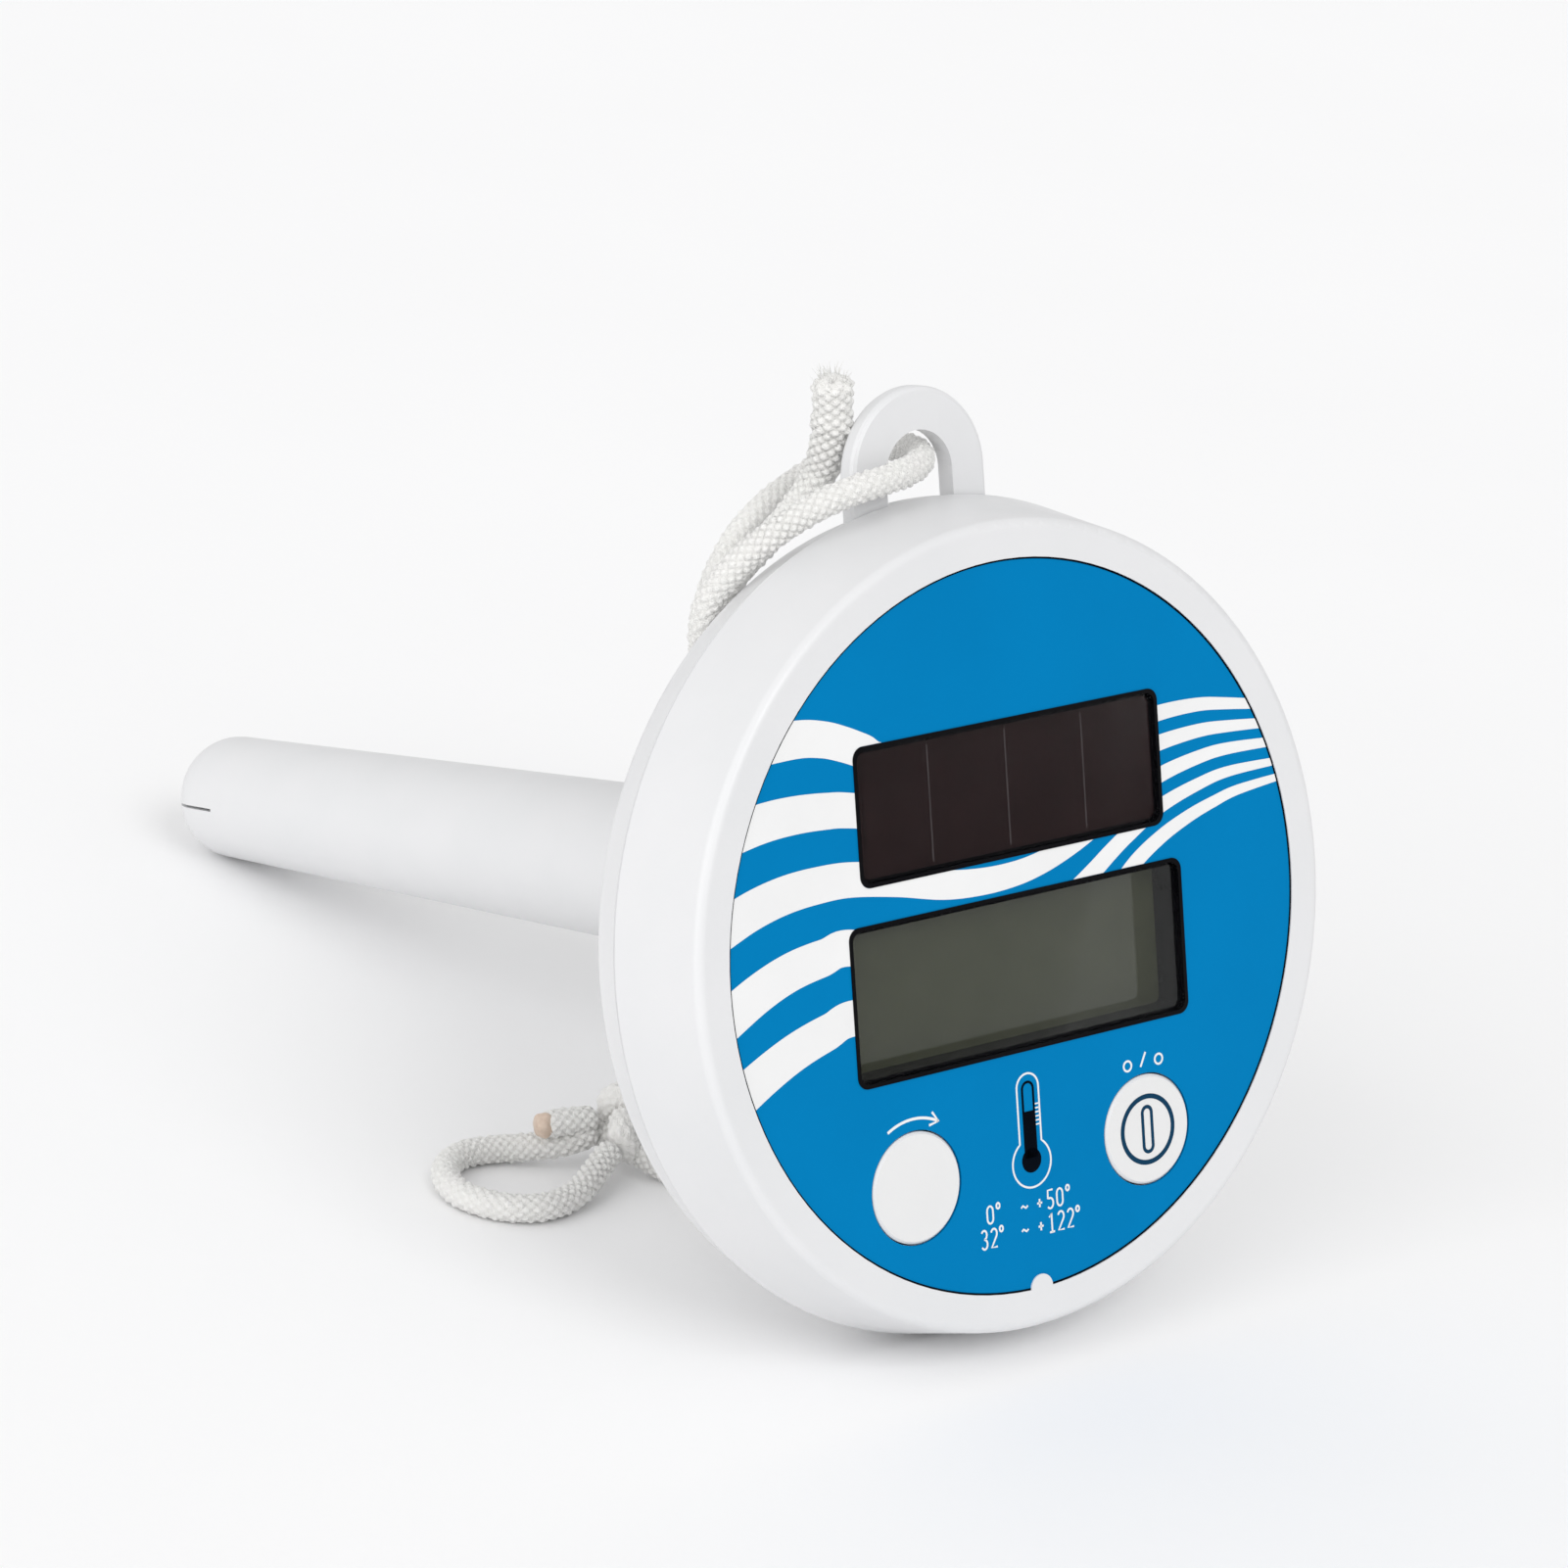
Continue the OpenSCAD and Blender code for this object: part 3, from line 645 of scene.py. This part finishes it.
# Centre lines of the five printed waves, and how fast each one's half width shrinks with x.
WAVES_MM = [
    [(-40, 27.6), (-32, 27.6), (-28, 27), (-25, 26), (-22, 24.7), (-18, 22.9), (0, 19.5),
     (16, 21), (23.5, 22), (30, 22.1), (35, 21.5), (44, 20)],
    [(-44, 17.8), (-38, 18.7), (-33, 18.9), (-28, 18.6), (-24, 18), (-10, 15), (8, 15),
     (18, 17.3), (23.5, 18.4), (30, 18.9), (35, 18.7), (44, 17.9)],
    [(-45, 7.2), (-40, 8.9), (-35, 9.9), (-30, 10.2), (-25, 10), (-18, 8.7), (-11, 7),
     (-5, 6.4), (0, 6.5), (4, 7.1), (8, 8.2), (12, 9.7), (18, 12.4), (23.5, 14.5),
     (30, 15.7), (35, 16), (44, 15.6)],
    [(-46, -3.8), (-40, -0.9), (-35, 0.8), (-30, 1.6), (-25, 1.9), (-10, -3), (6, 1.2),
     (9.5, 3.1), (12.5, 4.9), (15, 6.5), (18, 8.2), (23.5, 10.8), (30, 12.5), (35, 13.2),
     (44, 13.2)],
    [(-46, -13.8), (-40, -10.7), (-35, -8.6), (-30, -7.2), (-25, -6.3), (-10, -9), (6, -7),
     (11, -3), (14, 0.2), (16.4, 2.6), (18.4, 4.3), (20.4, 5.6), (22.6, 6.75), (25, 7.8),
     (28.5, 9), (32, 9.9), (36, 10.7), (44, 11.3)],
]
WAVE_HALF_WIDTH_MM = 1.51
WAVE_TAPERS = (0.0225, 0.0225, 0.0225, 0.0246, 0.0246)


def rounded_cutter(window, grow):
    """Outline of a window with round corners, grown by a little."""
    half_w = window["w"] / 2 + grow
    half_h = window["h"] / 2 + grow
    radius = CORNER_MM + grow
    outline = []
    for sign_x, sign_y, start in ((1, 1, 0), (-1, 1, 90), (-1, -1, 180), (1, -1, 270)):
        centre = (
            window["x"] + sign_x * (half_w - radius), window["y"] + sign_y * (half_h - radius)
        )
        outline += arc(centre, radius, start, start + 90, 8)
    return outline


def plate_mesh(outlines, low, high):
    """Closed prisms over outlines, on the face."""
    mesh = bmesh.new()
    for outline in outlines:
        base = [mesh.verts.new(FACE @ Vector((x, y, low))) for x, y in outline]
        bottom = mesh.faces.new(base)
        grown = bmesh.ops.extrude_face_region(mesh, geom=[bottom])
        raised = [v for v in grown["geom"] if isinstance(v, bmesh.types.BMVert)]
        lift = FACE.to_3x3() @ Vector((0, 0, high - low))
        bmesh.ops.translate(mesh, verts=raised, vec=lift)
    bmesh.ops.recalc_face_normals(mesh, faces=mesh.faces)
    data = bpy.data.meshes.new("plate")
    mesh.to_mesh(data)
    mesh.free()
    return data


def trimmed(piece, cutter_mesh, operation):
    """Cuts a piece with another mesh and keeps the result as its own mesh."""
    cutter = bpy.data.objects.new("cutter", cutter_mesh)
    bpy.context.scene.collection.objects.link(cutter)
    cut = piece.modifiers.new("cut", "BOOLEAN")
    cut.operation = operation
    cut.solver = "EXACT"
    cut.object = cutter
    result = bpy.data.meshes.new_from_object(
        piece.evaluated_get(bpy.context.evaluated_depsgraph_get())
    )
    piece.modifiers.clear()
    piece.data = result
    bpy.data.objects.remove(cutter)


def make_waves():
    ink = Ink()
    for wave, taper in zip(WAVES_MM, WAVE_TAPERS):
        line, _ = smooth_line([(x, y, 0) for x, y in wave], 0.5)
        ahead = np.gradient(line, axis=0)
        across = np.stack([-ahead[:, 1], ahead[:, 0]], axis=1)
        across /= np.linalg.norm(across, axis=1)[:, None]
        offset = across * (WAVE_HALF_WIDTH_MM - taper * line[:, :1])
        ink.band((line[:, :2] + offset).tolist(), (line[:, :2] - offset).tolist())
    piece = ink.piece("label_waves", PRINT_WHITE, "label_print")
    edge = arc((0, 0), LABEL_R_MM - 0.12, 0, 358, 179)
    trimmed(piece, plate_mesh([edge], -1, 1), "INTERSECT")
    windows = [rounded_cutter(window, WINDOW_PLAY_MM) for window in (SOLAR_MM, LCD_MM)]
    trimmed(piece, plate_mesh(windows, -1, 1), "DIFFERENCE")


def thermometer_icon():
    x = -0.3
    tube_r = 1.7
    bulb_r = 3.0
    neck = math.degrees(math.acos(tube_r / bulb_r))
    outline = arc((x, -19.4), tube_r, 0, 180, 18)
    outline += arc((x, -28.6), bulb_r, 180 - neck, 360 + neck, 48)
    line = Ink()
    line.stroke(outline, 0.24, closed=True)
    for tick in range(6):
        y = -21.6 - 0.5 * tick
        line.stroke([(x + 1.0, y), (x + 1.62, y)], 0.18)
    line.piece("icon_outline", PRINT_WHITE, "label_print")
    dark = Ink()
    dark.stroke(arc((x, -19.6), 0.85, 0, 180, 14), 0.3)
    dark.stroke([(x - 0.85, -19.6), (x - 0.85, -22.5)], 0.3)
    dark.stroke([(x + 0.85, -19.6), (x + 0.85, -22.5)], 0.3)
    dark.stroke([(x, -22.3), (x, -28.0)], 2.0)
    dark.disc((x, -28.3), 1.5)
    dark.piece("icon_mercury", PRINT_BLACK, "label_print")


NUMERAL_SCALE_MM = (1.75, 2.3)
NUMERAL_LINE_MM = 0.24
ARROW_R_MM = 8.3
UNIT_SIGN_R_MM = 8.6

# Strokes of the printed numerals, in a cell 0.6 wide and 1 high. d is the degree sign.
DIGITS = {
    "0": [arc((0.3, 0.7), 0.26, 0, 180, 8) + arc((0.3, 0.3), 0.26, 180, 360, 8) + [(0.56, 0.7)]],
    "1": [[(0.1, 0.8), (0.32, 1.0), (0.32, 0.0)], [(0.1, 0.0), (0.54, 0.0)]],
    "2": [arc((0.3, 0.72), 0.26, 160, -40, 9) + [(0.04, 0.0), (0.56, 0.0)]],
    "3": [arc((0.28, 0.76), 0.24, 150, -90, 9), arc((0.28, 0.26), 0.26, 90, -150, 9)],
    "5": [[(0.54, 1.0), (0.1, 1.0), (0.08, 0.56)] + arc((0.27, 0.3), 0.28, 110, -140, 10)],
    "+": [[(0.08, 0.45), (0.52, 0.45)], [(0.3, 0.23), (0.3, 0.67)]],
    "~": [[(0.0, 0.42), (0.15, 0.52), (0.42, 0.38), (0.6, 0.48)]],
    "d": [arc((0.18, 0.88), 0.15, 0, 360, 12)],
}


def write_row(ink, text, places, base_y):
    """A row of numerals, each with its own left edge."""
    wide, high = NUMERAL_SCALE_MM
    for mark, x in zip(text, places):
        for line in DIGITS[mark]:
            placed = [(x + px * wide, base_y + py * high) for px, py in line]
            ink.stroke(placed, NUMERAL_LINE_MM)


def label_marks():
    ink = Ink()
    write_row(ink, "0d~+50d", (-7.8, -6.3, -2.4, 0, 1.7, 3.2, 4.7), -34.75)
    write_row(ink, "32d~+122d", (-8.9, -7.4, -6, -2.5, 0, 1.7, 3.2, 4.7, 6.1), -37.6)
    # A curved arrow over the left button.
    around = arc((-BUTTON_X_MM, BUTTON_Y_MM), ARROW_R_MM, 118, 62, 20)
    ink.stroke(around, 0.34)
    x, y = around[-1]
    ink.stroke([(x - 0.9, y + 1.25), (x, y), (x - 1.45, y - 0.25)], 0.3)
    # Two degree rings with a slash between them over the right button.
    for angle in (107, 73):
        ring = arc((BUTTON_X_MM, BUTTON_Y_MM), UNIT_SIGN_R_MM, angle, angle, 1)[0]
        ink.ring(ring, 0.62, 0.26, 20)
    ink.stroke([(BUTTON_X_MM - 0.45, -20.35), (BUTTON_X_MM + 0.45, -18.65)], 0.26)
    ink.piece("label_marks", PRINT_WHITE, "label_print")


def label_edge_shadow():
    """Painted shadow: a black ring along the label's edge, where the gap against the shell's rim
    falls into shade.
    """
    ink = Ink(-0.3, 0.05)
    ink.ring((0, 0), LABEL_R_MM - 0.13, 0.24, 240)
    ink.piece("label_edge_shadow", PRINT_BLACK, "label_print")


def unit_button_print():
    """A ring and an outlined bar on the right button."""
    ink = Ink(BUTTON_TOP_MM - 0.02, BUTTON_TOP_MM + 0.03)
    centre = (BUTTON_X_MM, BUTTON_Y_MM)
    ink.ring(centre, 4.05, 0.6)
    bar = arc((centre[0], centre[1] + 2.05), 0.73, 0, 180, 12)
    bar += arc((centre[0], centre[1] - 2.05), 0.73, 180, 360, 12)
    ink.stroke(bar, 0.45, closed=True)
    ink.piece("unit_button_print", PRINT_BLUE, "label_print", "unit_button")


def solar_lines():
    """Three pale seams between the solar cell's strips."""
    ink = Ink(SOLAR_CELL_TOP_MM - 0.02, SOLAR_CELL_TOP_MM + 0.03)
    half_h = SOLAR_MM["h"] / 2 - 1.4
    for x in (-12, 0, 12):
        ink.stroke([(x, SOLAR_MM["y"] - half_h), (x, SOLAR_MM["y"] + half_h)], 0.2)
    ink.piece("solar_seams", CELL_LINE, "cell_wafer")


make_waves()
thermometer_icon()
label_marks()
label_edge_shadow()
unit_button_print()
solar_lines()

# ---- CAD nodes ----

NODE_MATERIALS = {
    "front_shell": WHITE_ABS, "back_shell": WHITE_ABS, "stem_tube": STEM_ABS,
    "reset_button": BUTTON_ABS, "unit_button": BUTTON_ABS, "face_label": LABEL_BLUE,
    "solar_frame": FRAME_BLACK, "lcd_frame": FRAME_BLACK,
    "solar_window": CLEAR, "lcd_window": CLEAR, "solar_cell": CELL_WAFER,
    "lcd_glass": LCD_OLIVE, "lcd_reflector": FOIL, "lcd_holder": HOLDER_WHITE,
    "zebra_strips": SILICONE, "key_mat": SILICONE, "shell_gasket": SEAL_RUBBER,
    "stem_seal": SEAL_RUBBER, "probe_plug": SEAL_RUBBER, "circuit_board": SOLDER_MASK,
    "board_screws": STEEL, "ballast_weight": STEEL, "battery": CELL_CAN,
    "controller_chip": EPOXY, "probe_bead": EPOXY, "battery_holder": NYLON,
    "reset_switch": NYLON, "unit_switch": NYLON, "solar_leads": LEAD_PVC,
    "probe_leads": LEAD_PVC,
}


def dress_nodes():
    for node, material in NODE_MATERIALS.items():
        slots = NODES[node].data.materials
        slots.clear()
        slots.append(material)


dress_nodes()

# ---- Floor and lights ----


def make_floor():
    mesh = bpy.data.meshes.new("floor")
    reach = 4.0
    corners = [(-reach, -reach, 0), (reach, -reach, 0), (reach, reach, 0), (-reach, reach, 0)]
    mesh.from_pydata(corners, [], [(0, 1, 2, 3)])
    mesh.materials.append(FLOOR)
    floor = bpy.data.objects.new("floor", mesh)
    bpy.context.scene.collection.objects.link(floor)


def sun_light(name, azimuth, elevation, spread, strength):
    """A wide, soft light from far away. spread is its width in degrees."""
    light = bpy.data.lights.new(name, "SUN")
    light.energy = strength
    light.angle = math.radians(spread)
    lamp = bpy.data.objects.new(name, light)
    bpy.context.scene.collection.objects.link(lamp)
    lamp.rotation_mode = "QUATERNION"
    lamp.rotation_quaternion = (-towards(azimuth, elevation)).to_track_quat("-Z", "Y")


def make_world(strength):
    world = bpy.data.worlds.new("studio")
    world.use_nodes = True
    background = world.node_tree.nodes["Background"]
    background.inputs["Color"].default_value = (1, 1, 1, 1)
    background.inputs["Strength"].default_value = strength
    bpy.context.scene.world = world


bpy.context.scene.view_settings.view_transform = "Standard"
make_floor()
make_world(0.69)
sun_light("key", azimuth=-10, elevation=42, spread=30, strength=0.8)
sun_light("left_fill", azimuth=-80, elevation=28, spread=60, strength=1.0)
